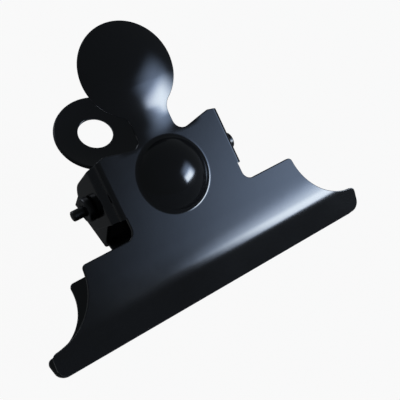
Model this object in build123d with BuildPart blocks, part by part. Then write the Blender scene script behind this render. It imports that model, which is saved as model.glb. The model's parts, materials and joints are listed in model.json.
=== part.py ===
"""Bulldog clip of pressed sheet steel, 75 mm wide, lying on its back.

Two plates are hinged on a pin through their folded ears, and a torsion spring on
the pin presses the grips apart and the lips together.

Frame, in millimetres: X runs along the jaw, Y from the jaw to the grips and Z up
from the surface that the clip lies on. The origin is the middle of its footprint.

Each plate is drawn in its own frame first: X along the jaw, Y up the plate from the
tip of the lip, Z out of the plate's flat outer face.
"""

import os
from math import asin, atan2, ceil, cos, degrees, dist, hypot, pi, radians, sin, sqrt, tan

from build123d import *

# Sheet
sheet = 0.9
fold_radius = 0.3

# Jaw and lip, up the plate from the lip's tip
jaw_width = 75.0
jaw_end_height = 5.0
jaw_end_radius = 2.0
jaw_end_top_radius = 1.2
wing_top_height = 17.1
wing_top_width = 50.8
wing_corner_radius = 0.9
sweep_start_height = 13.4
sweep_radius = 60.0
sweep_turn = 5.0
lip_radius = 12.0
lip_turn = 10.0
lip_gap = 0.2

# Body, shoulders and neck
body_width = 28.8
relief_radius = 1.9
ear_bottom_height = 21.0
shoulder_height = 31.8
shoulder_slope = 11.5
neck_width = 8.5
neck_fillet = 2.0

# Round boss over the hinge
boss_height_up_plate = 25.3
boss_radius = 7.9
boss_rise = 4.0
boss_fillet = 1.0

# Domed grip
grip_centre_height = 47.1
grip_radius = 9.95
grip_dome_rise = 2.2
grip_rim_drop = 0.8
hang_hole_radius = 4.1
hang_hole_height = 47.9

# Hinge
hinge_height = 25.6
hinge_depth = 10.1
ear_end_radius = 5.6
ear_gap = 0.15
ear_step_depth = 1.6
ear_step_run = 2.0
ear_step_radius = 0.5
pin_radius = 1.1
pin_clearance = 0.05
pin_head_radius = 1.8
pin_head_length = 4.0
pin_end_chamfer = 0.35
pin_tail_length = 4.3
pin_side_play = 0.1
collar_radius = 2.6
collar_length = 1.6

# Torsion spring
wire_radius = 0.75
coil_radius = 2.9
coil_turns = 5
coil_gap = 0.5
leg_angle = 54.0
leg_clearance = 0.12

# Plate profile: where each stretch of the outer face ends, as distance up the plate and out of it
sweep_end = (
    sweep_start_height - sweep_radius * sin(radians(sweep_turn)),
    -sweep_radius * (1 - cos(radians(sweep_turn))),
)
lip_lean = sweep_turn + lip_turn
bend_end = (
    sweep_end[0] - lip_radius * (sin(radians(lip_lean)) - sin(radians(sweep_turn))),
    sweep_end[1] - lip_radius * (cos(radians(sweep_turn)) - cos(radians(lip_lean))),
)
bend_centre = (
    sweep_end[0] + lip_radius * sin(radians(sweep_turn)),
    sweep_end[1] - lip_radius * cos(radians(sweep_turn)),
)
tip_drop = bend_end[1] - bend_end[0] * tan(radians(lip_lean))
tip_inner_drop = tip_drop - sheet / cos(radians(lip_lean))

# Closed clip: the plates lean so that the lips' inner edges stand half the lip gap from the mid plane
tip_reach = hypot(hinge_height, hinge_depth + tip_inner_drop)
lean = atan2(hinge_depth + tip_inner_drop, hinge_height) - asin(lip_gap / 2 / tip_reach)

# Spheres of the boss and of the grip's dome
boss_sphere = (boss_radius**2 + boss_rise**2) / (2 * boss_rise)
boss_centre_depth = boss_sphere - boss_rise
dome_sphere = (grip_radius**2 + grip_dome_rise**2) / (2 * grip_dome_rise)
dome_centre_depth = dome_sphere - grip_dome_rise + grip_rim_drop
crease_radius = sqrt((dome_sphere - sheet / 2) ** 2 - (dome_centre_depth - sheet / 2) ** 2)

# Ears: the front plate's step outwards past their folds and lie outside the back plate's
fold_outer_radius = fold_radius + sheet
fold_line = body_width / 2 - fold_outer_radius
ear_step_out = sheet + ear_gap
outer_ear_face = body_width / 2 + ear_step_out

# Plane of a plate's side view: distance up the plate, then out of its face
side = Plane(origin=(0, 0, 0), x_dir=(0, 1, 0), z_dir=(1, 0, 0))


def on_sweep(angle, inset=0.0):
    """Point of the gentle sweep above the lip, at a turn in radians and a depth in the sheet."""
    radius = sweep_radius - inset
    return (sweep_start_height - radius * sin(angle), radius * cos(angle) - sweep_radius)


def on_bend(angle, inset=0.0):
    """Point of the lip's bend, at a turn in radians and a depth in the sheet."""
    radius = lip_radius - inset
    return (bend_centre[0] - radius * sin(angle), bend_centre[1] + radius * cos(angle))


def shoulder_at(across):
    """Height up the plate of the sloping shoulder at a distance from the plate's middle."""
    return shoulder_height + (across - neck_width / 2) * tan(radians(shoulder_slope))


def near(vertex, across, up):
    """Whether a corner of a drawing lies at a place on its left or its right half."""
    return dist((abs(vertex.X), vertex.Y), (across, up)) < sheet / 4


def sheet_profile():
    """Section of the sheet on the plate's side plane, from under the lip's tip to past the neck."""
    overrun = sheet
    over_tip = (-overrun, tip_drop - overrun * tan(radians(lip_lean)))
    into = (sheet * sin(radians(lip_lean)), -sheet * cos(radians(lip_lean)))
    sweep_middle = radians(sweep_turn / 2)
    bend_middle = radians((sweep_turn + lip_lean) / 2)
    with BuildSketch() as section:
        with BuildLine():
            top = (grip_centre_height, 0)
            inner_top = (grip_centre_height, -sheet)
            start = (sweep_start_height, 0)
            inner_start = (sweep_start_height, -sheet)
            inner_over_tip = (over_tip[0] + into[0], over_tip[1] + into[1])
            Line(top, start)
            ThreePointArc(start, on_sweep(sweep_middle, 0), sweep_end)
            ThreePointArc(sweep_end, on_bend(bend_middle, 0), bend_end)
            Line(bend_end, over_tip)
            Line(over_tip, inner_over_tip)
            inner_bend_end = on_bend(radians(lip_lean), sheet)
            inner_sweep_end = on_bend(radians(sweep_turn), sheet)
            Line(inner_over_tip, inner_bend_end)
            ThreePointArc(inner_bend_end, on_bend(bend_middle, sheet), inner_sweep_end)
            ThreePointArc(inner_sweep_end, on_sweep(sweep_middle, sheet), inner_start)
            Line(inner_start, inner_top)
            Line(inner_top, top)
        make_face()
    return section.sketch


def flat_outline():
    """Front view of the pressing without its ears and grip: jaw, wings, relief notches, body and neck."""
    half_jaw = jaw_width / 2
    half_wing = wing_top_width / 2
    half_neck = neck_width / 2
    relief_centre = (fold_line + relief_radius, wing_top_height + relief_radius)
    relief_middle = (
        relief_centre[0] - relief_radius * cos(pi / 4),
        relief_centre[1] - relief_radius * sin(pi / 4),
    )
    scallop_middle = (
        half_jaw - (half_jaw - half_wing) * cos(pi / 4),
        wing_top_height - (wing_top_height - jaw_end_height) * sin(pi / 4),
    )
    with BuildSketch() as outline:
        with BuildLine() as half:
            Polyline((0, 0), (half_jaw, 0), (half_jaw, jaw_end_height))
            ThreePointArc((half_jaw, jaw_end_height), scallop_middle, (half_wing, wing_top_height))
            Line((half_wing, wing_top_height), (relief_centre[0], wing_top_height))
            ThreePointArc((relief_centre[0], wing_top_height), relief_middle, (fold_line, relief_centre[1]))
            Polyline(
                (fold_line, relief_centre[1]),
                (fold_line, shoulder_at(fold_line)),
                (half_neck, shoulder_height),
                (half_neck, grip_centre_height),
                (0, grip_centre_height),
            )
            mirror(half.line, about=Plane.YZ)
        make_face()
        fillet([v for v in outline.vertices() if near(v, half_jaw, 0)], jaw_end_radius)
        fillet([v for v in outline.vertices() if near(v, half_jaw, jaw_end_height)], jaw_end_top_radius)
        fillet([v for v in outline.vertices() if near(v, half_wing, wing_top_height)], wing_corner_radius)
        fillet([v for v in outline.vertices() if near(v, half_neck, shoulder_height)], neck_fillet)
    return outline.sketch


def body_section(step_out):
    """Section across the body: flat face, two folds and two ears, which may step outwards."""
    face = body_width / 2
    depth = hinge_depth + ear_end_radius + sheet
    step_end = ear_step_depth + ear_step_run
    lag = sheet * tan(atan2(step_out, ear_step_run) / 2)
    with BuildSketch() as section:
        with BuildLine() as half:
            Polyline(
                (0, 0),
                (face, 0),
                *([(face, -ear_step_depth), (face + step_out, -step_end)] if step_out else []),
                (face + step_out, -depth),
                (face + step_out - sheet, -depth),
                *([(face + step_out - sheet, -step_end - lag), (face - sheet, -ear_step_depth - lag)]
                  if step_out else []),
                (face - sheet, -sheet),
                (0, -sheet),
            )
            mirror(half.line, about=Plane.YZ)
        make_face()
        fillet([v for v in section.vertices() if near(v, face, 0)], fold_outer_radius)
        fillet([v for v in section.vertices() if near(v, face - sheet, -sheet)], fold_radius)
        if step_out:
            for across, up in (
                (face, -ear_step_depth),
                (face + step_out, -step_end),
                (face + step_out - sheet, -step_end - lag),
                (face - sheet, -ear_step_depth - lag),
            ):
                fillet([v for v in section.vertices() if near(v, across, up)], ear_step_radius)
    return section.sketch


def eared_body(step_out, ear_hole_radius):
    """Channel of the body and its two ears, each ear with a round end about the pin hole."""
    ear_top = shoulder_at(fold_line)
    across = Plane(origin=(0, ear_bottom_height, 0), x_dir=(1, 0, 0), z_dir=(0, -1, 0))
    with BuildPart() as body:
        with BuildSketch(across):
            add(body_section(step_out))
        extrude(amount=-(ear_top - ear_bottom_height))
        with BuildSketch(side):
            with Locations(((ear_bottom_height + ear_top) / 2, -fold_outer_radius / 2)):
                Rectangle(ear_top - ear_bottom_height, fold_outer_radius)
            with Locations((hinge_height, -hinge_depth)):
                Circle(ear_end_radius)
            make_hull()
            with Locations((hinge_height, -hinge_depth)):
                Circle(ear_hole_radius, mode=Mode.SUBTRACT)
        extrude(amount=jaw_width, both=True, mode=Mode.INTERSECT)
        with BuildSketch():
            with BuildLine() as half:
                Polyline(
                    (0, ear_bottom_height),
                    (jaw_width / 2, ear_bottom_height),
                    (jaw_width / 2, ear_top),
                    (fold_line, ear_top),
                    (neck_width / 2, shoulder_height),
                    (0, shoulder_height),
                )
                mirror(half.line, about=Plane.YZ)
            make_face()
        extrude(amount=jaw_width, both=True, mode=Mode.INTERSECT)
    return body.part


def pressed_plate(step_out, hole_radius=0.0):
    """One plate in its own frame: formed sheet, boss, ears with pin holes and domed grip."""
    with BuildPart() as plate:
        with BuildSketch(side):
            add(sheet_profile())
        extrude(amount=jaw_width, both=True)
        with BuildSketch():
            add(flat_outline())
        extrude(amount=jaw_width, both=True, mode=Mode.INTERSECT)

        # Ears, folded back from the body's edges
        add(eared_body(step_out, pin_radius + pin_clearance))

        # Round boss, hollow behind
        with Locations((0, boss_height_up_plate, 0)):
            Hole(radius=boss_radius - sheet / 2)
        with BuildSketch(side):
            with Locations((boss_height_up_plate, -boss_centre_depth)):
                Circle(boss_sphere)
                Circle(boss_sphere - sheet, mode=Mode.SUBTRACT)
            with Locations((boss_height_up_plate, boss_sphere - sheet)):
                Rectangle(4 * boss_sphere, 2 * boss_sphere, mode=Mode.INTERSECT)
            with Locations((boss_height_up_plate - boss_sphere, 0)):
                Rectangle(2 * boss_sphere, 4 * boss_sphere, mode=Mode.SUBTRACT)
        revolve(axis=Axis((0, boss_height_up_plate, 0), (0, 0, 1)))
        boss_foot = [e for e in plate.edges().filter_by(GeomType.CIRCLE)
                     if abs(e.radius - boss_radius) < 0.01 and abs(e.center().Z) < 0.01]
        fillet(boss_foot, boss_fillet)

        # Domed grip; the neck ends where the dome rises through it
        with Locations((0, grip_centre_height, 0)):
            Hole(radius=crease_radius)
        with BuildSketch(side):
            with Locations((grip_centre_height, -dome_centre_depth)):
                Circle(dome_sphere)
                Circle(dome_sphere - sheet, mode=Mode.SUBTRACT)
            with Locations((grip_centre_height + grip_radius / 2, 0)):
                Rectangle(grip_radius, 2 * dome_sphere, mode=Mode.INTERSECT)
            with Locations((grip_centre_height, -2 * dome_centre_depth)):
                Rectangle(4 * grip_radius, 2 * dome_centre_depth, mode=Mode.SUBTRACT)
        revolve(axis=Axis((0, grip_centre_height, 0), (0, 0, 1)))
        if hole_radius:
            with Locations((0, hang_hole_height, 0)):
                Hole(radius=hole_radius)
    return plate.part


def resting_angle():
    """Angle of the back plate to the surface when its boss and its jaw touch that surface."""
    steps = 200
    jaw_points = [(0.0, tip_drop)]
    jaw_points += [on_sweep(radians(sweep_turn * i / steps)) for i in range(steps)]
    jaw_points += [on_bend(radians(sweep_turn + lip_turn * i / steps)) for i in range(steps + 1)]
    angles = []
    for height, out in jaw_points:
        run = boss_height_up_plate - height
        rise = -boss_centre_depth - out
        angles.append(atan2(rise, run) + asin(boss_sphere / hypot(run, rise)))
    return min(angles)


# Placing: the back plate lies on its boss and jaw bend, and the mid plane leans with it
back_angle = resting_angle()
mid_angle = back_angle + lean
front_angle = mid_angle + lean
pin_height = (
    boss_sphere
    + (hinge_height - boss_height_up_plate) * sin(back_angle)
    + (hinge_depth - boss_centre_depth) * cos(back_angle)
)


def plate_place(angle, hand, pin_point):
    """Frame of a plate that rises at an angle from the surface and faces up or down (hand)."""
    up = Vector(0, cos(angle), sin(angle))
    out = Vector(0, -sin(angle), cos(angle)) * hand
    origin = Vector(*pin_point) - up * hinge_height + out * hinge_depth
    return Plane(origin=origin, x_dir=(hand, 0, 0), z_dir=out)


front_pressing = pressed_plate(ear_step_out)
back_pressing = pressed_plate(0.0, hang_hole_radius)

# The footprint's middle becomes the origin
trial_front = plate_place(front_angle, 1, (0, 0, pin_height)).location * front_pressing
trial_back = plate_place(back_angle, -1, (0, 0, pin_height)).location * back_pressing
boxes = [trial_front.bounding_box(), trial_back.bounding_box()]
nearest = min(box.min.Y for box in boxes)
farthest = max(box.max.Y for box in boxes)
pin_point = (0, -(nearest + farthest) / 2, pin_height)
front_place = plate_place(front_angle, 1, pin_point)
back_place = plate_place(back_angle, -1, pin_point)
hinge = Plane(origin=pin_point, x_dir=(1, 0, 0), z_dir=(0, cos(mid_angle), sin(mid_angle)))
along_pin = Plane(origin=pin_point, x_dir=(0, 1, 0), z_dir=(1, 0, 0))

# Front plate
with BuildPart() as front_plate:
    with Locations(front_place.location):
        add(front_pressing)

# Back plate, turned about, with its ears inside and a hanging hole
with BuildPart() as back_plate:
    with Locations(back_place.location):
        add(back_pressing)

# Hinge pin with its barrel head
pin_end = outer_ear_face + pin_side_play
with BuildPart() as hinge_pin:
    with BuildSketch(along_pin.offset(-pin_end - pin_tail_length)):
        Circle(pin_radius)
    extrude(amount=2 * pin_end + pin_tail_length)
    with BuildSketch(along_pin.offset(pin_end)):
        Circle(pin_head_radius)
    extrude(amount=pin_head_length)
    ends = hinge_pin.faces().filter_by(Axis.X).sort_by(Axis.X)
    chamfer([*ends[0].edges(), *ends[-1].edges()], pin_end_chamfer)

# Collar pressed on the pin's plain end
with BuildPart() as pin_collar:
    with BuildSketch(along_pin.offset(-pin_end)):
        Circle(collar_radius)
        Circle(pin_radius, mode=Mode.SUBTRACT)
    extrude(amount=-collar_length)
    rims = pin_collar.edges().filter_by(GeomType.CIRCLE).filter_by(lambda e: e.radius > pin_radius + 0.1)
    chamfer(rims, pin_end_chamfer)

# Torsion spring: its right leg bears on the front plate, its left leg on the back plate
coil_pitch = 2 * wire_radius + coil_gap
leave = pi / 2 + radians(leg_angle)
total_turn = 2 * pi * coil_turns + 2 * (pi - leave)
half_coil = coil_pitch * total_turn / (4 * pi)


def on_coil(turn):
    """Point of the coil's axis line after a turn in radians from the front leg."""
    angle = leave + turn
    across = half_coil - coil_pitch * turn / (2 * pi)
    return Vector(across, -coil_radius * sin(angle), coil_radius * cos(angle))


def coil_heading(turn):
    """Unit direction of the wire at that point."""
    angle = leave + turn
    across = -coil_pitch / (2 * pi)
    return Vector(across, -coil_radius * cos(angle), -coil_radius * sin(angle)).normalized()


def biarc_joint(first, first_way, last, last_way):
    """Point where the two arcs that join two headed points meet, and the heading there."""
    gap = last - first
    both = first_way + last_way
    spread = 2 * (1 - first_way.dot(last_way))
    reach = (sqrt(gap.dot(both) ** 2 + spread * gap.dot(gap)) - gap.dot(both)) / spread
    near = first + first_way * reach
    far = last - last_way * reach
    return (near + far) * 0.5, (far - near).normalized()


# Leg length from the coil to the inner face of its plate
plate_out = Vector(0, -cos(lean), -sin(lean))
leg_way = coil_heading(0) * -1
leg_slope = leg_way.dot(plate_out)
inner_face = hinge_depth - sheet
leg_reach = inner_face - leg_clearance - wire_radius * sqrt(1 - leg_slope**2)
leg_length = (leg_reach - on_coil(0).dot(plate_out)) / leg_slope
front_leg_tip = on_coil(0) + leg_way * leg_length
back_leg_tip = on_coil(total_turn) + coil_heading(total_turn) * leg_length

quarters = ceil(total_turn / (pi / 2))
stops = [total_turn * i / quarters for i in range(quarters + 1)]
with BuildPart() as torsion_spring:
    with BuildLine() as wire_line:
        Line(hinge.from_local_coords(front_leg_tip), hinge.from_local_coords(on_coil(0)))
        for here, there in zip(stops, stops[1:]):
            first = hinge.from_local_coords(on_coil(here))
            last = hinge.from_local_coords(on_coil(there))
            first_way = hinge.from_local_coords(on_coil(here) + coil_heading(here)) - first
            last_way = hinge.from_local_coords(on_coil(there) + coil_heading(there)) - last
            joint, joint_way = biarc_joint(first, first_way, last, last_way)
            TangentArc(first, joint, tangent=first_way)
            TangentArc(joint, last, tangent=joint_way)
        Line(hinge.from_local_coords(on_coil(total_turn)), hinge.from_local_coords(back_leg_tip))
    start_point = hinge.from_local_coords(front_leg_tip)
    start_way = hinge.from_local_coords(on_coil(0)) - start_point
    with BuildSketch(Plane(origin=start_point, z_dir=start_way)):
        Circle(wire_radius)
    sweep(path=wire_line.wire())

# Least gap of the wire to itself, on points of its axis line
line_points = [wire_line.wire() @ (i / 900) for i in range(901)]
point_step = wire_line.wire().length / 900
apart = ceil(6 * wire_radius / point_step)
least = min(
    (line_points[i] - line_points[j]).length
    for i in range(0, 901, 2)
    for j in range(i + apart, 901)
)
print(f"spring: least gap to itself {least - 2 * wire_radius:.3f} mm, leg length {leg_length:.2f} mm")

front_plate.part.label = "front_plate"
back_plate.part.label = "back_plate"
hinge_pin.part.label = "hinge_pin"
pin_collar.part.label = "pin_collar"
torsion_spring.part.label = "torsion_spring"

os.makedirs("parts", exist_ok=True)
export_step(front_plate.part, "parts/front_plate.step")
export_step(back_plate.part, "parts/back_plate.step")
export_step(hinge_pin.part, "parts/hinge_pin.step")
export_step(pin_collar.part, "parts/pin_collar.step")
export_step(torsion_spring.part, "parts/torsion_spring.step")

print(f"lean {degrees(lean):.3f}, back plate to the surface {degrees(back_angle):.3f} degrees")
print(f"pin axis at y {pin_point[1]:.4f}, z {pin_point[2]:.4f} mm")
for piece in (front_plate, back_plate, hinge_pin, pin_collar, torsion_spring):
    box = piece.part.bounding_box()
    print(piece.part.label, len(piece.part.solids()), f"{piece.part.volume:.1f} mm3",
          [round(v, 3) for v in (*box.min, *box.max)])
hole = back_place.from_local_coords(Vector(0, hang_hole_height, 0))
print("hanging hole on the plate's face", [round(v, 4) for v in hole])
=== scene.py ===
"""Bulldog clip of black-enamelled sheet steel, lying on its back plate on a white table.

Each plate starts as a flat blank with ear flaps. The blank is meshed flat, and one function of two
parameters presses it: it folds the ears, bends the lip, and raises the boss and the domed grip.
Sizes are in millimetres up to the last step, where they become metres in the frame's own axes.
"""

from __future__ import annotations

import json
import logging
import math
from dataclasses import dataclass, field
from enum import Enum
from typing import Any

import bpy
import numpy as np
from mathutils import Euler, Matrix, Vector
from mathutils.geometry import delaunay_2d_cdt

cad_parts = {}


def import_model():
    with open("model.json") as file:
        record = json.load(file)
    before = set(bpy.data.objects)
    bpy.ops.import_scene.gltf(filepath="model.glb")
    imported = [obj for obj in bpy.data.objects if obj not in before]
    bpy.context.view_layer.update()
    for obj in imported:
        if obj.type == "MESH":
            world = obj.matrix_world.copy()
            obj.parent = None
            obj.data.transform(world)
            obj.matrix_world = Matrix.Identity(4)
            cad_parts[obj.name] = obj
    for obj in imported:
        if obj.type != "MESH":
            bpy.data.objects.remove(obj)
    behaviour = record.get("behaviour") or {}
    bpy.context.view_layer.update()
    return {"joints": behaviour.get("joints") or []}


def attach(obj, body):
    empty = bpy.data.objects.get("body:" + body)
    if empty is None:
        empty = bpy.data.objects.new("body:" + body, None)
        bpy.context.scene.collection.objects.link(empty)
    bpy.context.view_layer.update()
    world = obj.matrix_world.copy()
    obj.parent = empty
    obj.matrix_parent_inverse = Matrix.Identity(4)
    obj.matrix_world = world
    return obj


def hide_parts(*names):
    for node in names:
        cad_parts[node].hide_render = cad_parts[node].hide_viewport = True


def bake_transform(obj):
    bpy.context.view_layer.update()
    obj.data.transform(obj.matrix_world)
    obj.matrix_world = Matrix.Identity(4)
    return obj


LOG = logging.getLogger("bulldog_clip")
MM = 0.001
EDGE_ATTRIBUTE = "cut_edge"
WIRE_MAP = "along_wire"
# Least numbers of points in the stretches of an outline, and distances in millimetres for its mesh
LEAST_IN_LINE = 2
LEAST_IN_ARC = 4
MERGE_DISTANCE = 1e-6
MESH_TOLERANCE = 1e-4
Array = np.ndarray
Tree = bpy.types.NodeTree
Socket = bpy.types.NodeSocket


class Facing(Enum):
    """Which way a plate's outer face looks: up from the table, or down to it."""

    UP = 1
    DOWN = -1


def srgb(code: str) -> tuple[float, float, float, float]:
    """Turn an sRGB hex colour into the linear colour that shaders use.

    Args:
        code: Six hex digits, with or without a leading sign.

    Returns:
        Linear red, green and blue, and an alpha of 1.
    """
    parts = [int(code.lstrip("#")[i:i + 2], 16) / 255 for i in (0, 2, 4)]
    linear = [p / 12.92 if p <= 0.04045 else ((p + 0.055) / 1.055) ** 2.4 for p in parts]
    return (*linear, 1.0)


def smooth_rise(value: Array, low: float, high: float) -> Array:
    """Rise from 0 at low to 1 at high along the cubic 3t^2 - 2t^3.

    Args:
        value: Where the rise is read.
        low: Value at which the rise starts.
        high: Value at which it ends.

    Returns:
        The risen share, with the shape of value.
    """
    part = np.clip((value - low) / (high - low), 0.0, 1.0)
    return part * part * (3.0 - 2.0 * part)


def cap_height(radius: float, away: Array) -> Array:
    """Height of a circle or sphere over its middle at distances from it, and 0 beyond it."""
    return np.sqrt(np.maximum(radius ** 2 - away ** 2, 0))


def unit(rows: Array) -> Array:
    """Directions brought to length 1, one a row."""
    return rows / np.linalg.norm(rows, axis=-1, keepdims=True)


def on_circle(angle: Array) -> Array:
    """Points of a circle of radius 1 at angles in radians, one a row."""
    return np.stack([np.cos(angle), np.sin(angle)], -1)


@dataclass
class Outline:
    """A line drawn stretch by stretch in even steps; each stretch leaves its last point to the next one."""

    step: float
    end: Array | None = None
    stretches: list[Array] = field(default_factory=list)

    def straight(self, end: Array | tuple[float, float], fineness: float = 1.0) -> None:
        """Go on along a straight line, unless its end is reached already.

        Args:
            end: Where the line ends.
            fineness: Share of the step that it takes.
        """
        way = np.subtract(end, self.end)
        length = np.linalg.norm(way)
        if length > MESH_TOLERANCE:
            count = max(LEAST_IN_LINE, math.ceil(length / (fineness * self.step)))
            self.stretches.append(self.end + way * (np.arange(count)[:, None] / count))
        self.end = np.array(end)

    def arc(self, centre: tuple[float, float], radius: float, start: float, end: float) -> None:
        """Go on straight to the start of an arc, and then along the arc.

        Args:
            centre: Centre of the arc.
            radius: Radius of the arc.
            start: First angle in radians.
            end: Last angle in radians; the arc runs either way.
        """
        count = max(LEAST_IN_ARC, math.ceil(abs(end - start) * radius / self.step))
        points = np.array(centre) + radius * on_circle(start + (end - start) * np.arange(count + 1) / count)
        if self.end is not None:
            self.straight(points[0])
        self.stretches.append(points[:-1])
        self.end = points[-1]


def outward_of(loop: Array) -> Array:
    """Mitred outward directions of a closed loop that keeps the material on its left.

    Args:
        loop: Points of the loop, one a row.

    Returns:
        Directions whose length makes an inset of even width at corners.
    """
    after = unit(np.roll(loop, -1, 0) - loop)
    both = after + np.roll(after, 1, 0)
    right = np.stack([both[:, 1], -both[:, 0]], 1)
    return 2.0 * right / np.maximum((right * right).sum(1, keepdims=True), 1.0)


def inside_of(points: Array, loops: list[Array]) -> Array:
    """Which points lie inside an outline and outside its holes, by counting crossings to the right.

    Args:
        points: Points to test, one a row.
        loops: Closed loops, outline and holes alike.

    Returns:
        True for each point with an odd count.
    """
    place, height = points[:, :1], points[:, 1:]
    odd = np.zeros(len(points), bool)
    for start in loops:
        end = np.roll(start, -1, 0)
        spans = (start[:, 1] > height) != (end[:, 1] > height)
        rise = np.where(end[:, 1] == start[:, 1], 1.0, end[:, 1] - start[:, 1])
        cross = start[:, 0] + (height - start[:, 1]) / rise * (end - start)[:, 0]
        odd ^= (spans & (place < cross)).sum(1) % 2 == 1
    return odd


@dataclass(frozen=True)
class Pressing:
    """Sizes of one pressing, in millimetres up the plate from the lip's tip and out of its flat face."""

    sheet: float = 0.9
    jaw_half: float = 37.5
    jaw_end_height: float = 5.0
    jaw_end_radius: float = 2.0
    jaw_end_top_radius: float = 1.2
    wing_top: float = 17.1
    wing_corner_radius: float = 0.9
    sweep_start: float = 13.4
    sweep_radius: float = 60.0
    sweep_turn: float = math.radians(5.0)
    lip_radius: float = 12.0
    lip_lean: float = math.radians(16.45)
    body_half: float = 14.4
    fold_radius: float = 0.95
    relief_radius: float = 1.9
    ear_bottom: float = 21.0
    ear_end_radius: float = 5.6
    # How far the ears step outwards past their folds, and where
    step_out: float = 0.0
    ear_step_depth: float = 1.6
    ear_step_run: float = 2.0
    # Shares of the step's run: how soft its corners are, and how far before its start they reach
    ear_step_softness: float = 0.09
    ear_step_lead: float = 0.2
    shoulder_height: float = 31.8
    shoulder_slope: float = math.radians(11.5)
    shoulder_half: float = 12.3
    ear_top: float = 32.9
    neck_half: float = 4.25
    neck_fillet: float = 2.0
    neck_crown: float = 22.0
    crown_overrun: float = 1.0
    neck_climb: float = math.radians(4.0)
    neck_end_drop: float = 4.5
    throat_radius: float = 3.0
    # Shares of the neck's half width between which its crown fades and its flanks turn down
    crown_fade: tuple[float, float] = (1.2, 2.4)
    flank_turn: tuple[float, float] = (0.7, 2.0)
    # Shares of the grip's radius: how far under its middle the neck meets it and starts to sink, and
    # the lengths over which the flanks sink and the dome takes over
    neck_root: float = 1.15
    neck_sink: float = 0.4
    flank_sink: float = 0.3
    dome_takeover: float = 0.2
    boss_height: float = 24.8
    boss_across: float = -0.6
    boss_radius: float = 7.45
    boss_rise: float = 3.9
    boss_fillet: float = 1.2
    grip_height: float = 47.1
    grip_radius: float = 9.95
    grip_tilt: float = math.radians(3.0)
    dome_rise: float = 1.8
    rim_drop: float = 0.4
    crease_softness: float = 0.27
    hinge_height: float = 25.6
    hinge_depth: float = 10.1
    pin_hole_radius: float = 1.15
    hang_hole_radius: float = 4.1
    hang_hole_height: float = 47.9
    # Shares of the outline's step that are taken round holes and across folds
    hole_fineness: float = 0.6
    fold_fineness: float = 0.5
    least_slant: float = 0.3

    @property
    def fold_line(self) -> float:
        """Distance from the middle at which the ears start to fold."""
        return self.body_half - self.fold_radius

    @property
    def fold_length(self) -> float:
        """Length of the fold along the outer face."""
        return self.fold_radius * math.pi / 2

    @property
    def boss_sphere(self) -> float:
        """Radius of the sphere that the boss is a cap of."""
        return (self.boss_radius ** 2 + self.boss_rise ** 2) / (2 * self.boss_rise)

    @property
    def boss_foot(self) -> float:
        """Distance from the boss's middle at which its foot fillet meets the flat face."""
        sunk = self.boss_sphere - self.boss_rise
        return math.sqrt((self.boss_sphere + self.boss_fillet) ** 2 - (sunk + self.boss_fillet) ** 2)

    @property
    def boss_joint(self) -> float:
        """Distance from the boss's middle at which the cap meets its foot fillet."""
        return self.boss_foot * self.boss_sphere / (self.boss_sphere + self.boss_fillet)

    def flap(self, depth: float) -> float:
        """Distance along the blank at which an ear reaches a depth below the flat face."""
        return self.fold_line + self.fold_length + depth - self.fold_radius

    def lip(self, up: Array) -> Array:
        """Height of the outer face along the lip: flat, a gentle arc, a tighter arc, then straight.

        Args:
            up: Heights up the plate.

        Returns:
            How far the outer face stands out of the flat one, negative behind it.
        """
        turn, lean = self.sweep_turn, self.lip_lean
        sweep_up = self.sweep_start - self.sweep_radius * math.sin(turn)
        sweep_out = -self.sweep_radius * (1 - math.cos(turn))
        centre_up = sweep_up + self.lip_radius * math.sin(turn)
        centre_out = sweep_out - self.lip_radius * math.cos(turn)
        bend_up = centre_up - self.lip_radius * math.sin(lean)
        bend_out = centre_out + self.lip_radius * math.cos(lean)
        swept = cap_height(self.sweep_radius, up - self.sweep_start) - self.sweep_radius
        bent = centre_out + cap_height(self.lip_radius, up - centre_up)
        flat_lip = bend_out + (up - bend_up) * math.tan(lean)
        stretches = [up >= self.sweep_start, up >= sweep_up, up >= bend_up]
        return np.select(stretches, [0 * up, swept, bent], flat_lip)

    def boss(self, across: Array, up: Array) -> Array:
        """Height of the round boss: a cap of a sphere, a hollow foot fillet, then the flat face.

        Args:
            across: Distances from the plate's middle.
            up: Heights up the plate.

        Returns:
            How far the boss stands out of the flat face.
        """
        away = np.hypot(across - self.boss_across, up - self.boss_height)
        sphere, foot = self.boss_sphere, self.boss_foot
        cap = cap_height(sphere, away) - sphere + self.boss_rise
        hollow = self.boss_fillet - cap_height(self.boss_fillet, away - foot)
        return np.select([away <= self.boss_joint, away <= foot], [cap, hollow], 0.0)

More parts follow.
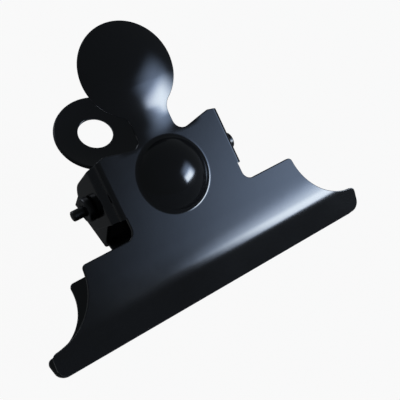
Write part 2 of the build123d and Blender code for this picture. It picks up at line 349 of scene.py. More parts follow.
    def grip(self, across: Array, up: Array) -> Array:
        """Height of the neck and the domed grip: the higher of the two, rounded where they meet.

        The neck is a crowned rib that climbs a little towards the dome. Its flanks turn down into the
        dome's rim, and it ends under the dome, which tilts back a little as a whole.

        Args:
            across: Distances from the plate's middle.
            up: Heights up the plate.

        Returns:
            How far the sheet stands out of the flat face.
        """
        away = np.hypot(across, up - self.grip_height)
        sphere = (self.grip_radius ** 2 + self.dome_rise ** 2) / (2 * self.dome_rise)
        sunk = sphere - self.dome_rise + self.rim_drop
        tilted = (up - self.grip_height) * math.tan(self.grip_tilt)
        dome = cap_height(sphere, away) - sunk - tilted
        start = self.grip_height - self.neck_root * self.grip_radius
        beside = np.abs(across)
        on_neck = 1 - smooth_rise(beside, *(share * self.neck_half for share in self.crown_fade))
        crowned = on_neck * smooth_rise(up, self.shoulder_height, start + self.crown_overrun)
        flank = smooth_rise(beside, *(share * self.neck_half for share in self.flank_turn))
        sunk_flank = flank * smooth_rise(up, start, start + self.flank_sink * self.grip_radius)
        sink_start = self.grip_height - self.neck_sink * self.grip_radius
        sunk_end = smooth_rise(up, sink_start, self.grip_height)
        crown = -across * across / (2 * self.neck_crown)
        climb = np.maximum(up - self.shoulder_height, 0.0) * math.tan(self.neck_climb)
        neck = crowned * (crown + climb) - self.rim_drop * sunk_flank - self.neck_end_drop * sunk_end
        apart = dome - neck
        blended = 0.5 * (dome + neck + np.sqrt(apart * apart + self.crease_softness ** 2))
        share = smooth_rise(up, start, start + self.dome_takeover * self.grip_radius)
        return share * blended + (1 - share) * neck

    def press(self, spots: Array) -> Array:
        """Carry points of the flat blank to the outer face of the pressed plate.

        Args:
            spots: Distances from the blank's middle and heights up it, one point a row.

        Returns:
            Points with their place along the jaw, up the plate and out of it, one a row.
        """
        along, up = spots.T
        hand = np.sign(along)
        past = np.where(up > self.wing_top + self.relief_radius, np.abs(along) - self.fold_line, -1.0)
        angle = np.clip(past / self.fold_radius, 0.0, math.pi / 2)
        depth = np.maximum(past - self.fold_length, 0.0)
        part = (self.fold_radius + depth - self.ear_step_depth) / self.ear_step_run
        soft, lead = self.ear_step_softness, self.ear_step_lead
        ramp = 0.5 * (1 + np.hypot(part, soft) - np.hypot(part - 1, soft))
        ramp_foot = 0.5 * (1 + math.hypot(lead, soft) - math.hypot(lead + 1, soft))
        stepped = self.step_out * np.where(depth > 0, np.maximum(ramp - ramp_foot, 0.0), 0.0)
        folded = self.fold_line + self.fold_radius * np.sin(angle) + stepped
        across = np.where(past > 0, hand * folded, along)
        fallen = self.fold_radius * (1 - np.cos(angle)) + depth
        raised = self.lip(up) + self.boss(across, up) + self.grip(across, up)
        return np.stack([across, up, np.where(past > 0, -fallen, raised)], -1)

    def slopes(self, spots: Array) -> tuple[Array, Array]:
        """Central differences of the pressed face along both directions of the blank.

        Args:
            spots: Points of the blank, one a row.

        Returns:
            Directions along the blank and up it, one a row.
        """
        tiny = 1e-3
        one, two = (self.press(spots + move) - self.press(spots - move) for move in tiny * np.eye(2))
        return one / (2 * tiny), two / (2 * tiny)

    def solid(self, spots: Array, depth: float) -> tuple[Array, Array]:
        """Carry points of the blank at a depth in the sheet to the pressed plate.

        The depth is measured square to the face. On the lip it is carried straight in, so that the cut
        edge stays under the outline.

        Args:
            spots: Points of the blank, one a row.
            depth: Depth below the outer face.

        Returns:
            Points of the plate, and the outer face's normals there.
        """
        normal = unit(np.cross(*self.slopes(spots)))
        straight_in = np.array([0.0, 0.0, 1.0]) / np.maximum(normal[:, 2:], self.least_slant)
        way = np.where(spots[:, 1:] < self.sweep_start, straight_in, normal)
        return self.press(spots) - way * depth, normal

    def half_outline(self, step: float) -> Array:
        """Right half of the blank's outline, from under the lip's middle to the grip's top.

        Args:
            step: Largest distance between points.

        Returns:
            Points, one a row.
        """
        quarter = math.pi / 2
        scallop = (self.jaw_half, self.wing_top)
        hollow = self.wing_top - self.jaw_end_height
        end, top, corner = self.jaw_end_radius, self.jaw_end_top_radius, self.wing_corner_radius
        top_drop = math.sqrt((hollow + top) ** 2 - top ** 2)
        top_at = (self.jaw_half - top, self.wing_top - top_drop)
        corner_run = math.sqrt((hollow + corner) ** 2 - corner ** 2)
        corner_at = (self.jaw_half - corner_run, self.wing_top - corner)
        relief_at = (self.fold_line + self.relief_radius, self.wing_top + self.relief_radius)
        ear_end = self.ear_end_radius
        low = math.asin((self.ear_bottom - self.hinge_height) / ear_end)
        to_top = (self.fold_radius - self.hinge_depth, self.ear_top - self.hinge_height)
        high = math.atan2(to_top[1], to_top[0]) - math.acos(ear_end / math.hypot(*to_top))
        ear_at = (self.flap(self.hinge_depth), self.hinge_height)
        flap_start = self.flap(self.fold_radius)
        neck_round = self.neck_fillet
        tilt = self.shoulder_slope
        neck_at = (
            self.neck_half + neck_round,
            self.shoulder_height + neck_round * (math.tan(tilt) + 1 / math.cos(tilt)),
        )
        shoulder_top = self.shoulder_height + (self.shoulder_half - self.neck_half) * math.tan(tilt)
        throat = self.throat_radius
        throat_drop = math.sqrt((self.grip_radius + throat) ** 2 - (self.neck_half + throat) ** 2)
        throat_at = (self.neck_half + throat, self.grip_height - throat_drop)
        throat_turn = math.atan2(throat_drop, -self.neck_half - throat)
        path = Outline(step, np.zeros(2))
        path.arc((self.jaw_half - end, end), end, -quarter, 0)
        path.arc(top_at, top, 0, math.atan2(top_drop, top))
        path.arc(scallop, hollow, math.atan2(-top_drop, -top), math.atan2(-corner, -corner_run))
        path.arc(corner_at, corner, math.atan2(corner, corner_run), quarter)
        path.arc(relief_at, self.relief_radius, -quarter, -math.pi)
        path.straight((self.fold_line, self.ear_bottom))
        path.straight((flap_start, self.ear_bottom), self.fold_fineness)
        path.arc(ear_at, ear_end, low, high)
        path.straight((flap_start, self.ear_top))
        path.straight((self.shoulder_half, shoulder_top), self.fold_fineness)
        path.arc(neck_at, neck_round, tilt - quarter, -math.pi)
        path.arc(throat_at, throat, math.pi, throat_turn)
        path.arc((0, self.grip_height), self.grip_radius, throat_turn - math.pi, quarter)
        return np.vstack([*path.stretches, path.end])

    def loops(self, with_hanging_hole: bool, step: float) -> list[Array]:
        """Outline of the blank and its holes, each with the material on its left.

        Args:
            with_hanging_hole: Whether the grip has a hole to hang by.
            step: Largest distance between points.

        Returns:
            The outline first, then the pin holes, then the hanging hole.
        """
        right = self.half_outline(step)
        left = right[1:-1][::-1] * np.array([-1.0, 1.0])
        found = [np.vstack([right, left])]
        pin_at = self.flap(self.hinge_depth)
        holes = [(across, self.hinge_height, self.pin_hole_radius) for across in (pin_at, -pin_at)]
        if with_hanging_hole:
            holes.append((0.0, self.hang_hole_height, self.hang_hole_radius))
        for across, up, radius in holes:
            hole = Outline(self.hole_fineness * step)
            hole.arc((across, up), radius, 2 * math.pi, 0)
            found += hole.stretches
        return found


def linked(name: str, data: Any) -> bpy.types.Object:
    """Make an object of its data and link it to the scene."""
    made = bpy.data.objects.new(name, data)
    bpy.context.scene.collection.objects.link(made)
    return made


@dataclass
class MeshArrays:
    """Points, faces, normals and edge shares of a piece, gathered before they become a mesh."""

    points: Array
    triangles: Array
    quads: Array
    normals: Array | None = None
    edge: Array | None = None
    wire_map: Array | None = None

    def to_object(self, name: str) -> bpy.types.Object:
        """Make the Blender object, with its place in its mesh and smooth faces.

        Args:
            name: Name of the object and its mesh.

        Returns:
            The linked object.
        """
        mesh = bpy.data.meshes.new(name)
        faces = self.triangles.tolist() + self.quads.tolist()
        mesh.from_pydata(self.points * MM, [], faces)
        mesh.polygons.foreach_set("use_smooth", np.ones(len(faces), bool))
        if self.edge is not None:
            layer = mesh.attributes.new(EDGE_ATTRIBUTE, "FLOAT", "POINT")
            layer.data.foreach_set("value", self.edge.astype(np.float32))
        if self.wire_map is not None:
            corner = np.empty(len(mesh.loops), np.int32)
            mesh.loops.foreach_get("vertex_index", corner)
            layer = mesh.uv_layers.new(name=WIRE_MAP)
            layer.data.foreach_set("uv", self.wire_map[corner].astype(np.float32).ravel())
        mesh.update()
        if self.normals is not None:
            mesh.normals_split_custom_set_from_vertices(self.normals.tolist())
        return linked(name, mesh)


@dataclass(frozen=True)
class Stance:
    """Where the closed clip lies: the pin's axis and the angles of its plates to the table."""

    pin: tuple[float, float, float]
    back_angle: float = math.radians(14.341)
    lean: float = math.radians(14.951)

    def axes(self, facing: Facing) -> tuple[Array, Array, Array]:
        """Directions of a plate's own frame: along the jaw, up the plate, out of its face."""
        angle = self.back_angle + (2 * self.lean if facing is Facing.UP else 0.0)
        hand = facing.value
        up = np.array([0.0, math.cos(angle), math.sin(angle)])
        out = np.array([0.0, -math.sin(angle), math.cos(angle)]) * hand
        return np.array([hand, 0.0, 0.0]), up, out

    def mid_axes(self) -> tuple[Array, Array, Array]:
        """Directions of the hinge's frame: along the pin, to the back plate, up between the plates."""
        angle = self.back_angle + self.lean
        up = np.array([0.0, math.cos(angle), math.sin(angle)])
        return np.array([1.0, 0.0, 0.0]), np.array([0.0, math.sin(angle), -math.cos(angle)]), up


@dataclass
class FormedPlate:
    """One plate of the clip, pressed from its blank."""

    name: str
    node: str
    body: str
    facing: Facing
    hanging_hole: bool
    pressing: Pressing = field(default_factory=Pressing)
    grid: float = 0.5
    fine_grid: float = 0.24
    loop_step: float = 0.4
    edge_round: float = 0.16
    edge_bends: tuple[float, ...] = (30.0, 60.0, 90.0)
    # Rings of points about the boss and the dome's crease: their spacing, and how far they reach
    ring_step: float = 0.15
    ring_start: float = 0.06
    boss_margin: float = 0.4
    crease_share: float = 0.82
    crease_margins: tuple[float, float] = (0.8, 0.9)
    # How many runs of the ear step the fine grid covers, and the share of a loop's step kept free along it
    fine_reach: float = 1.5
    border_room: float = 0.55

    def inner_points(self, loops: list[Array]) -> Array:
        """Points inside the blank: a grid, finer by the folds, and rings by the boss and the crease.

        Args:
            loops: Outline and holes of the meshed face.

        Returns:
            Points, one a row.
        """
        size = self.pressing
        reach = max(size.jaw_half, size.flap(size.hinge_depth + size.ear_end_radius))
        step_end = size.flap(size.ear_step_depth + self.fine_reach * size.ear_step_run)
        coarse_in = np.arange(0.5 * self.grid, size.fold_line, self.grid)
        fine = np.arange(size.fold_line, step_end, self.fine_grid)
        coarse_out = np.arange(step_end, reach, self.grid)
        half = np.concatenate([coarse_in, fine, coarse_out])
        rows = np.arange(self.grid, size.grip_height + size.grip_radius, self.grid)
        grid = np.stack(np.meshgrid(np.concatenate([-half[::-1], half]), rows), -1).reshape(-1, 2)
        crease = self.crease_share * size.grip_radius
        ringed = np.zeros(len(grid), bool)
        rings = []
        for centre, near, far, start, turn, top in (
            ((size.boss_across, size.boss_height), size.boss_joint - self.boss_margin,
             size.boss_foot + self.boss_margin, 0.0, 2 * math.pi, math.inf),
            ((0.0, size.grip_height), crease - self.crease_margins[0], crease + self.crease_margins[1],
             -math.pi, math.pi, size.grip_height),
        ):
            away = np.linalg.norm(grid - centre, axis=1)
            ringed |= (away > near) & (away < far) & (grid[:, 1] < top)
            radius = np.arange(near + self.ring_start, far, self.ring_step)
            count = int(turn * far / self.grid)
            angle = start + turn * np.arange(count) / count
            rings.append((centre + radius[:, None, None] * on_circle(angle)).reshape(-1, 2))
        points = np.vstack([grid[~ringed], *rings])
        points = points[inside_of(points, loops)]
        room = np.full(len(points), math.inf)
        for spot in np.vstack(loops):
            room = np.minimum(room, ((points - spot) ** 2).sum(1))
        return points[room >= (self.border_room * self.loop_step) ** 2]

    def arrays(self) -> MeshArrays:
        """Mesh the blank, press both faces of the sheet and join them by a rounded cut edge.

        Returns:
            The plate's arrays in its own frame.
        """
        size = self.pressing
        cut = size.loops(self.hanging_hole, self.loop_step)
        outward = [outward_of(loop) for loop in cut]
        face_loops = [loop - way * self.edge_round for loop, way in zip(cut, outward)]
        flat = np.vstack([*face_loops, self.inner_points(face_loops)])
        starts = np.cumsum([0] + [len(loop) for loop in face_loops])
        border = [
            (int(first + i), int(first + (i + 1) % len(loop)))
            for first, loop in zip(starts, face_loops)
            for i in range(len(loop))
        ]
        found = delaunay_2d_cdt([Vector(p) for p in flat.tolist()], border, [], 0, MERGE_DISTANCE)
        blank = np.array([tuple(p) for p in found[0]])
        faces = np.array(found[2])
        if len(blank) != len(flat) or np.abs(blank - flat).max() > MESH_TOLERANCE:
            raise RuntimeError(f"the blank of {self.name} was meshed with other points than it was given")
        faces = faces[inside_of(blank[faces].mean(1), face_loops)]
        a, b, c = (blank[faces[:, k]] for k in range(3))
        turned = (b - a)[:, 0] * (c - a)[:, 1] - (b - a)[:, 1] * (c - a)[:, 0] < 0
        faces[turned] = faces[turned][:, ::-1]
        count = len(flat)
        top, normal = size.solid(flat, 0.0)
        under, _ = size.solid(flat, size.sheet)
        points, normals, edge = [top, under], [normal, -normal], [np.zeros(2 * count)]
        quads = []
        bend = np.radians(self.edge_bends)
        inset = self.edge_round * (1 - np.sin(bend))
        depth = self.edge_round * (1 - np.cos(bend))
        insets = np.concatenate([inset, inset[::-1]])
        depths = np.concatenate([depth, size.sheet - depth[::-1]])
        tilts = np.concatenate([bend, math.pi - bend[::-1]])
        next_free = 2 * count
        for first, loop, way in zip(starts, cut, outward):
            rings = [np.arange(first, first + len(loop))]
            ahead = unit(way)
            for back, deep, tilt in zip(insets, depths, tilts):
                place = loop - way * back
                spots, up = size.solid(place, deep)
                one, two = size.slopes(place)
                side = unit(one * ahead[:, :1] + two * ahead[:, 1:])
                points.append(spots)
                normals.append(up * math.cos(tilt) + side * math.sin(tilt))
                edge.append(np.ones(len(loop)))
                rings.append(np.arange(next_free, next_free + len(loop)))
                next_free += len(loop)
            rings.append(np.arange(first + count, first + count + len(loop)))
            for high, low in zip(rings, rings[1:]):
                quads.append(np.stack([high, low, np.roll(low, -1), np.roll(high, -1)], 1))
        both = np.vstack([faces, faces[:, ::-1] + count])
        return MeshArrays(np.vstack(points), both, np.vstack(quads), np.vstack(normals), np.concatenate(edge))

    def build(self, stance: Stance) -> bpy.types.Object:
        """Press the plate and lay it where the clip lies.

        Args:
            stance: Where the closed clip lies.

        Returns:
            The plate's object, riding on its body in place of its node.
        """
        arrays = self.arrays()
        along, up, out = stance.axes(self.facing)
        turn = np.stack([along, up, out])
        start = np.array(stance.pin) - up * self.pressing.hinge_height + out * self.pressing.hinge_depth
        arrays.points = arrays.points @ turn + start
        arrays.normals = arrays.normals @ turn
        piece = arrays.to_object(self.name)
        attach(piece, self.body)
        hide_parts(self.node)
        return piece


def tube_faces(rings: int, steps: int, closed: bool = False) -> tuple[Array, Array]:
    """Faces of a tube whose points come ring by ring, with the two end points last.

    Args:
        rings: Number of rings.
        steps: Points in a ring.
        closed: Whether the last ring joins the first, so that there are no ends.

    Returns:
        Triangles of the ends, and quads between the rings.
    """
    number = np.arange(rings * steps).reshape(rings, steps)
    here, follow = (number, np.roll(number, -1, 0)) if closed else (number[:-1], number[1:])
    quads = np.stack([here, np.roll(here, -1, 1), np.roll(follow, -1, 1), follow], -1).reshape(-1, 4)
    if closed:
        return np.zeros((0, 3), int), quads
    hub = np.full(steps, number.size)
    head = np.stack([hub, np.roll(number[0], -1), number[0]], 1)
    tail = np.stack([hub + 1, number[-1], np.roll(number[-1], -1)], 1)
    return np.vstack([head, tail]), quads


def turned_piece(profile: Array, closed: bool, axis: Array, steps: int = 72) -> MeshArrays:
    """Turn a profile of places along the pin and radii about the pin's axis.

    Args:
        profile: Places along X and radii, one a row; material lies on its left.
        closed: Whether the last profile point joins the first, as on a ring.
        axis: A point of the axis.
        steps: Points round the axis.

    Returns:
        The turned arrays; an open profile ends in points on the axis.
    """
    angle = 2 * math.pi * np.arange(steps) / steps
    across = np.repeat(profile[:, :1], steps, 1)
    ring = np.stack([across, profile[:, 1:] * np.cos(angle), profile[:, 1:] * np.sin(angle)], -1)
    points = ring.reshape(-1, 3)
    if not closed:
        points = np.vstack([points, [[profile[0, 0], 0.0, 0.0], [profile[-1, 0], 0.0, 0.0]]])
    return MeshArrays(points + axis, *tube_faces(len(profile), steps, closed))


@dataclass
class Hinge:
    """Pin with its flanged barrel head, and the collar pressed on its plain end."""

    stance: Stance
    pin_radius: float = 1.1
    head_radius: float = 1.8
    head_length: float = 4.0
    flange_radius: float = 2.3
    flange_length: float = 1.3
    tail_length: float = 4.3
    collar_radius: float = 2.6
    collar_length: float = 1.6
    end_round: float = 0.35
    seat_chamfer: float = 0.05
    bore_chamfer: float = 0.12
    shank_start: float = 0.875
    sharp_angle: float = math.radians(50.0)
    ear_face: float = 15.45
    side_play: float = 0.1

    def rounded(self, centre: tuple[float, float], start: float, end: float, count: int = 7) -> Array:
        """Points of an edge round between two angles in degrees."""
        return np.array(centre) + self.end_round * on_circle(np.radians(np.linspace(start, end, count)))

    def build(self) -> list[bpy.types.Object]:
        """Turn the pin and the collar about the pin's axis.

        Returns:
            Both objects, riding on the back jaw in place of their nodes.
        """
        out = self.ear_face + self.side_play
        soft = self.end_round
        axis = np.array(self.stance.pin)
        tip = -out - self.tail_length
        head_end = out + self.head_length
        shank, seat, bore = self.pin_radius, self.seat_chamfer, self.bore_chamfer
        pin_profile = np.vstack([
            self.rounded((tip + soft, shank - soft), 180, 90),
            [[tip + self.shank_start, shank], [0.0, shank], [out - seat, shank]],
            [[out, shank + seat], [out, self.flange_radius - soft]],
            self.rounded((out + soft, self.flange_radius - soft), 180, 90),
            self.rounded((out + self.flange_length - soft, self.flange_radius - soft), 90, 0),
            [[out + self.flange_length, self.head_radius]],
            self.rounded((head_end - soft, self.head_radius - soft), 90, 0),
        ])
        collar_out = -out
        collar_in = -out - self.collar_length
        collar_profile = np.vstack([
            [[collar_in, shank + bore]],
            self.rounded((collar_in + soft, self.collar_radius - soft), 180, 90),
            self.rounded((collar_out - soft, self.collar_radius - soft), 90, 0),
            [[collar_out, shank + bore], [collar_out - bore, shank], [collar_in + bore, shank]],
        ])
        pieces = []
        for name, node, profile, closed in (
            ("rivet_pin", "hinge_pin", pin_profile, False),
            ("pressed_collar", "pin_collar", collar_profile, True),
        ):
            piece = turned_piece(profile, closed, axis).to_object(name)
            piece.data.set_sharp_from_angle(angle=self.sharp_angle)
            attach(piece, "back_jaw")
            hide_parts(node)
            pieces.append(piece)
        return pieces


@dataclass
class CoilSpring:
    """Torsion spring of round wire on the pin, with a straight leg against each plate."""

    stance: Stance
    wire_radius: float = 0.75
    coil_radius: float = 2.9
    turns: int = 5
    gap: float = 0.5
    leg_angle: float = math.radians(54.0)
    leg_length: float = 9.97
    ring_points: int = 20
    turn_points: int = 48
    leg_points: int = 24
    end_round: float = 0.2
    end_bends: tuple[float, ...] = (0.0, 30.0, 60.0)

    def line(self) -> Array:
        """Axis line of the wire: leg, helix and leg, in the hinge's own frame.

        The helix runs along X by one pitch a turn, and each leg leaves it along its tangent.

        Returns:
            Points, one a row, from the front leg's tip to the back leg's tip.
        """
        pitch = 2 * self.wire_radius + self.gap
        leave = math.pi / 2 + self.leg_angle
        total = 2 * math.pi * self.turns + 2 * (math.pi - leave)
        turn = np.linspace(0, total, self.turn_points * self.turns)
        angle = leave + turn
        across = pitch * (total / 2 - turn) / (2 * math.pi)
        out, up = -self.coil_radius * np.sin(angle), self.coil_radius * np.cos(angle)
        coil = np.stack([across, out, up], 1)
        way = unit(np.stack([0 * turn - pitch / (2 * math.pi), -up, out], 1))
        reach = np.linspace(1.0, 0.0, self.leg_points, endpoint=False)[:, None] * self.leg_length
        return np.vstack([coil[0] - way[0] * reach, coil, coil[-1] + way[-1] * reach[::-1]])

    def build(self) -> bpy.types.Object:
        """Carry a round section along the wire's line, with rounded ends.

        The section's frame is carried from point to point without twist.

        Returns:
            The spring, in place of its node.
        """
        line = self.line()
        along = unit(np.gradient(line, axis=0))
        side = np.zeros_like(line)
        side[0] = unit(np.cross(along[0], [1.0, 0.0, 0.0]))
        for i in range(1, len(line)):
            side[i] = unit(side[i - 1] - along[i] * (side[i - 1] @ along[i]))
        other = np.cross(along, side)
        bend = np.radians(self.end_bends)
        back_off = (self.end_round - self.end_round * np.cos(bend))[:, None]
        tail_end = line[-1] - along[-1] * back_off[::-1]
        centres = np.vstack([line[0] + along[0] * back_off, line[1:-1], tail_end])
        lower = self.wire_radius - self.end_round + self.end_round * np.sin(bend)
        radius = np.concatenate([lower, np.full(len(line) - 2, self.wire_radius), lower[::-1]])
        pick = np.concatenate([[0] * len(bend), np.arange(1, len(line) - 1), [len(line) - 1] * len(bend)])
        angle = 2 * math.pi * np.arange(self.ring_points) / self.ring_points
        spoke = side[pick][:, None] * np.cos(angle)[None, :, None]
        spoke += other[pick][:, None] * np.sin(angle)[None, :, None]
        tube = centres[:, None] + spoke * radius[:, None, None]
        points = np.vstack([tube.reshape(-1, 3), centres[:1], centres[-1:]])
        length = np.concatenate([[0.0], np.cumsum(np.linalg.norm(np.diff(centres, axis=0), axis=1))])
        spread = np.stack(np.meshgrid(length, angle * self.wire_radius, indexing="ij"), -1).reshape(-1, 2)
        wire_map = np.vstack([spread, [[0.0, 0.0], [length[-1], 0.0]]]) * MM
        pin = np.array(self.stance.pin)
        placed = points @ np.stack(self.stance.mid_axes()) + pin
        faces = tube_faces(len(centres), self.ring_points)
        piece = MeshArrays(placed, *faces, wire_map=wire_map).to_object("wire_spring")
        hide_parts("torsion_spring")
        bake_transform(piece)
        return piece


def add_node(tree: Tree, kind: str, links: dict[str | int, Any] | None = None, **values: Any) -> Any:
    """Add a shader node, set its properties and inputs, and link its inputs.

    Args:
        tree: Node tree of the material or world.
        kind: Node type name.
        links: Input name or number to the output socket that feeds it, or to a plain value.
        values: Properties of the node itself.

    Returns:
        The new node.
    """
    node = tree.nodes.new(kind)
    for key, value in values.items():
        setattr(node, key, value)
    for key, source in (links or {}).items():
        if isinstance(source, Socket):
            tree.links.new(source, node.inputs[key])
        else:
            node.inputs[key].default_value = source
    return node


def calculated(tree: Tree, operation: str, *values: Any) -> Socket:
    """Output of a math node on sockets or plain values."""
    return add_node(tree, "ShaderNodeMath", dict(enumerate(values)), operation=operation).outputs[0]


def noise(tree: Tree, place: Socket, size_mm: float, detail: float, roughness: float = 0.5) -> Socket:
    """Output of a noise texture whose patches have a size in millimetres."""
    links = {"Vector": place, "Scale": 1 / (size_mm * MM), "Detail": detail, "Roughness": roughness}
    return add_node(tree, "ShaderNodeTexNoise", links).outputs["Fac"]


def mixed_colour(tree: Tree, share: Socket, low: Any, high: Any) -> Socket:
    """Colour between two colours or colour sockets, by a share."""
    links = {"Factor": share, "A": low, "B": high}
    return add_node(tree, "ShaderNodeMix", links, data_type="RGBA").outputs["Result"]


def empty_tree(holder: bpy.types.Material | bpy.types.World) -> Tree:
    """Give a material or a world a node tree with no nodes in it."""
    holder.use_nodes = True
    holder.node_tree.nodes.clear()
    return holder.node_tree


@dataclass(frozen=True)
class StovedEnamel:
    """Black stoving enamel dipped on sheet steel and baked.

    It flows out smooth and semi-gloss, with a faint orange peel, gloss that varies a little from place to
    place, and a thinner, greyer film on the cut edges.
    """

    name: str
    film: str = "#0b0b0d"
    film_deep: str = "#060607"
    thin_edge: str = "#15161a"
    ior: float = 1.44
    gloss: float = 0.11
    dull: float = 0.15
    peel_mm: float = 2.2
    peel_depth_mm: float = 0.0025
    cloud_mm: float = 14.0
    cloud_low: float = 0.3
    cloud_high: float = 0.7

    def material(self) -> bpy.types.Material:
        """Build the node material; pattern sizes are in millimetres on Object coordinates."""
        made = bpy.data.materials.new(self.name)
        tree = empty_tree(made)
        place = add_node(tree, "ShaderNodeTexCoord").outputs["Object"]
        cloud = noise(tree, place, self.cloud_mm, detail=4.0, roughness=0.55)
        peel = noise(tree, place, self.peel_mm, detail=1.5, roughness=0.4)
        colour = mixed_colour(tree, cloud, srgb(self.film_deep), srgb(self.film))
        edge = add_node(tree, "ShaderNodeAttribute", attribute_name=EDGE_ATTRIBUTE).outputs["Fac"]
        worn = calculated(tree, "MULTIPLY", edge, cloud)
        film = mixed_colour(tree, worn, colour, srgb(self.thin_edge))
        rough = add_node(tree, "ShaderNodeMapRange", {
            "Value": cloud, "From Min": self.cloud_low, "From Max": self.cloud_high,
            "To Min": self.gloss, "To Max": self.dull})
        bump = add_node(tree, "ShaderNodeBump", {
            "Height": peel, "Strength": 1.0, "Distance": self.peel_depth_mm * MM})
        shader = add_node(tree, "ShaderNodeBsdfPrincipled", {
            "Base Color": film, "Roughness": rough.outputs[0], "Normal": bump.outputs[0], "IOR": self.ior})
        add_node(tree, "ShaderNodeOutputMaterial", {"Surface": shader.outputs[0]})
        return made


@dataclass(frozen=True)
class DrawnWire:
    """Oil-tempered spring wire, drawn through dies: grey-brown steel with fine lines along the wire."""

    name: str
    steel: str = "#77777a"
    scale_film: str = "#4a4541"
    gloss: float = 0.28
    dull: float = 0.42
    line_mm: float = 0.12
    line_length_mm: float = 6.0
    line_depth_mm: float = 0.01
    line_strength: float = 0.4
    patch_mm: float = 3.5

    def material(self) -> bpy.types.Material:
        """Build the node material; the lines follow the wire's own map, wider than real so that they show."""
        made = bpy.data.materials.new(self.name)
        tree = empty_tree(made)
        wire = add_node(tree, "ShaderNodeUVMap", uv_map=WIRE_MAP)
        per_metre = (1 / (self.line_length_mm * MM), 1 / (self.line_mm * MM), 1.0)
        stretch = add_node(tree, "ShaderNodeMapping", {"Vector": wire.outputs["UV"], "Scale": per_metre})
        streaks = {"Vector": stretch.outputs[0], "Scale": 1.0, "Detail": 3.0}
        lines = add_node(tree, "ShaderNodeTexNoise", streaks).outputs["Fac"]
        place = add_node(tree, "ShaderNodeTexCoord").outputs["Object"]
        patch = noise(tree, place, self.patch_mm, detail=3.0)
        colour = mixed_colour(tree, patch, srgb(self.steel), srgb(self.scale_film))
        rough = add_node(tree, "ShaderNodeMapRange", {
            "Value": lines, "To Min": self.gloss, "To Max": self.dull})
        bump = add_node(tree, "ShaderNodeBump", {
            "Height": lines, "Strength": self.line_strength, "Distance": self.line_depth_mm * MM})
        shader = add_node(tree, "ShaderNodeBsdfPrincipled", {
            "Base Color": colour, "Roughness": rough.outputs[0], "Normal": bump.outputs[0], "Metallic": 1.0})
        add_node(tree, "ShaderNodeOutputMaterial", {"Surface": shader.outputs[0]})
        return made


@dataclass(frozen=True)
class Lamp:
    """A rectangular lamp that fades to its borders, as a window does behind a net curtain.

    Direction, width and height are angles in degrees, seen from the clip. The azimuth counts from -Y
    towards +X. The fades are the shares of the lamp over which it falls to nothing at its left, right,
    lower and upper border.
    """

    name: str
    azimuth: float
    elevation: float
    width: float
    height: float
    radiance: float
    core: str
    dim: str
    fades: tuple[float, float, float, float]
    distance: float = 3.0

    def shade(self, light: bpy.types.AreaLight) -> None:
        """Grade the lamp: the product of a smooth rise from each border, tinted from dim to core.

        Args:
            light: The lamp's data.
        """
        light.use_nodes = True
        tree = light.node_tree
        place = add_node(tree, "ShaderNodeNewGeometry").outputs["Parametric"]
        parts = add_node(tree, "ShaderNodeSeparateXYZ", {0: place})
        left, right, low, high = self.fades
        level = 1.0
        for socket, near, far in (
            ("X", 0.0, left), ("X", 1.0, 1.0 - right), ("Y", 0.0, low), ("Y", 1.0, 1.0 - high),
        ):
            span = {"Value": parts.outputs[socket], "From Min": near, "From Max": far}
            rise = add_node(tree, "ShaderNodeMapRange", span, interpolation_type="SMOOTHSTEP")
            level = calculated(tree, "MULTIPLY", level, rise.outputs[0])
        glow = tree.nodes["Emission"]
        tree.links.new(mixed_colour(tree, level, srgb(self.dim), srgb(self.core)), glow.inputs["Color"])
        tree.links.new(level, glow.inputs["Strength"])

    def build(self, aim: Vector) -> None:
        """Hang the lamp.

        Args:
            aim: Point that the lamp faces.
        """
        az, el = math.radians(self.azimuth), math.radians(self.elevation)
        way = Vector((math.sin(az) * math.cos(el), -math.cos(az) * math.cos(el), math.sin(el)))
        light = bpy.data.lights.new(self.name, "AREA")
        light.shape = "RECTANGLE"
        light.size = 2 * self.distance * math.tan(math.radians(self.width / 2))
        light.size_y = 2 * self.distance * math.tan(math.radians(self.height / 2))
        light.energy = self.radiance * math.pi * light.size * light.size_y
        self.shade(light)
        lamp = linked(self.name, light)
        lamp.location = aim + way * self.distance
        lamp.rotation_euler = way.to_track_quat("Z", "Y").to_euler()


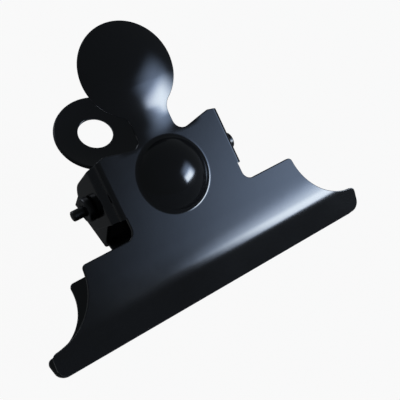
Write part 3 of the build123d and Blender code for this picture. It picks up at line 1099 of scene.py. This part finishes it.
@dataclass
class Studio:
    """Table, lamps, room and camera.

    Table and backdrop are white to the camera. Glossy and transmission rays see a share of that white, and
    the rest of the light comes from the lamps and the dim room.
    """

    table_half: float = 0.45
    table_white: str = "#fefefe"
    table_matt: str = "#7c7e7e"
    table_seen: float = 0.95
    table_mirrored: float = 0.05
    backdrop_seen: float = 0.955
    backdrop_mirrored: float = 0.07
    room: str = "#434c51"
    camera_place: tuple[float, float, float] = (-0.0703326, -0.1129639, 0.1333636)
    camera_turn: tuple[float, float, float] = (45.6499, -0.2895, -36.7848)
    focal_pixels: float = 850.15
    picture_pixels: float = 400.0
    sensor: float = 36.0
    clip_start: float = 0.005
    lamps_aim: tuple[float, float, float] = (0.0, 0.0, 0.015)
    lamps: tuple[Lamp, ...] = (
        Lamp("window", 45.5, 18.25, 41.0, 22.5, 26.0, "#e6f2ff", "#bdd7ff", (0.17, 0.5, 0.2, 0.45)),
        Lamp("sky_glow", 47.0, 32.5, 46.0, 25.0, 6.2, "#bdd7ff", "#bdd7ff", (0.4, 0.5, 0.3, 0.6)),
        Lamp("back_fill", 197.0, 28.0, 60.0, 30.0, 5.0, "#f2f6ff", "#dfe9ff", (0.5, 0.5, 0.5, 0.5)),
    )

    @staticmethod
    def white_share(tree: Tree, seen: float, mirrored: float) -> Socket:
        """Share of white that a ray sees, by its kind.

        Args:
            tree: Node tree of the table or the room.
            seen: Share for camera rays.
            mirrored: Share for glossy and transmission rays; all others see none.

        Returns:
            The socket that gives the share.
        """
        path = add_node(tree, "ShaderNodeLightPath").outputs
        bounced = calculated(tree, "MAXIMUM", path["Is Glossy Ray"], path["Is Transmission Ray"])
        dimmed = calculated(tree, "MULTIPLY", bounced, mirrored)
        return calculated(tree, "MULTIPLY_ADD", path["Is Camera Ray"], seen, dimmed)

    def table(self) -> None:
        """Lay the table: matt under its white, so that it keeps the clip's shadow."""
        half = self.table_half
        mesh = bpy.data.meshes.new("table")
        corners = [(-half, -half, 0), (half, -half, 0), (half, half, 0), (-half, half, 0)]
        mesh.from_pydata(corners, [], [(0, 1, 2, 3)])
        top = linked("table", mesh)
        made = bpy.data.materials.new("white_table")
        tree = empty_tree(made)
        share = self.white_share(tree, self.table_seen, self.table_mirrored)
        matt = add_node(tree, "ShaderNodeBsdfDiffuse", {"Color": srgb(self.table_matt)})
        glow = add_node(tree, "ShaderNodeEmission", {"Color": srgb(self.table_white), "Strength": 1.0})
        mixed = add_node(tree, "ShaderNodeMixShader", {0: share, 1: matt.outputs[0], 2: glow.outputs[0]})
        add_node(tree, "ShaderNodeOutputMaterial", {"Surface": mixed.outputs[0]})
        mesh.materials.append(made)

    def backdrop(self) -> None:
        """Put the dim room behind everything, with white in it for the camera."""
        bpy.context.scene.world = bpy.data.worlds.new("room")
        tree = empty_tree(bpy.context.scene.world)
        dim = add_node(tree, "ShaderNodeBackground", {"Color": srgb(self.room), "Strength": 1.0})
        white = add_node(tree, "ShaderNodeBackground", {"Color": srgb(self.table_white), "Strength": 1.0})
        share = self.white_share(tree, self.backdrop_seen, self.backdrop_mirrored)
        mixed = add_node(tree, "ShaderNodeMixShader", {0: share, 1: dim.outputs[0], 2: white.outputs[0]})
        add_node(tree, "ShaderNodeOutputWorld", {"Surface": mixed.outputs[0]})

    def build(self) -> None:
        """Set up the view transform, the room, the lamps, the table and the camera."""
        scene = bpy.context.scene
        scene.view_settings.view_transform = "Standard"
        self.backdrop()
        for lamp in self.lamps:
            lamp.build(Vector(self.lamps_aim))
        self.table()
        lens = bpy.data.cameras.new("camera")
        lens.sensor_width = self.sensor
        lens.lens = self.focal_pixels / self.picture_pixels * self.sensor
        lens.clip_start = self.clip_start
        scene.camera = linked("camera", lens)
        scene.camera.location = self.camera_place
        scene.camera.rotation_euler = Euler([math.radians(a) for a in self.camera_turn], "XYZ")


def main() -> None:
    """Load the frame, build the clip in order, dress it, and set up the studio."""
    logging.basicConfig(level=logging.INFO, format="%(name)s: %(message)s")
    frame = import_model()
    pin = tuple(v / MM for v in frame["joints"][0]["pos_m"])
    stance = Stance(pin)
    enamel = StovedEnamel("black_stoved_enamel").material()
    pin_enamel = StovedEnamel("pin_enamel", gloss=0.26, dull=0.36, peel_mm=0.9).material()
    wire = DrawnWire("oil_tempered_wire").material()
    front = FormedPlate(
        "upper_plate", "front_plate", "front_jaw", Facing.UP, hanging_hole=False,
        pressing=Pressing(step_out=1.05, sweep_start=13.0, lip_lean=math.radians(17.59)))
    back = FormedPlate("lower_plate", "back_plate", "back_jaw", Facing.DOWN, hanging_hole=True)
    for finish, pieces in (
        (enamel, [front.build(stance), back.build(stance)]),
        (pin_enamel, Hinge(stance).build()),
        (wire, [CoilSpring(stance).build()]),
    ):
        for piece in pieces:
            piece.data.materials.append(finish)
            LOG.info("%s: %d points", piece.name, len(piece.data.vertices))
    Studio().build()


if __name__ == "__main__":
    main()
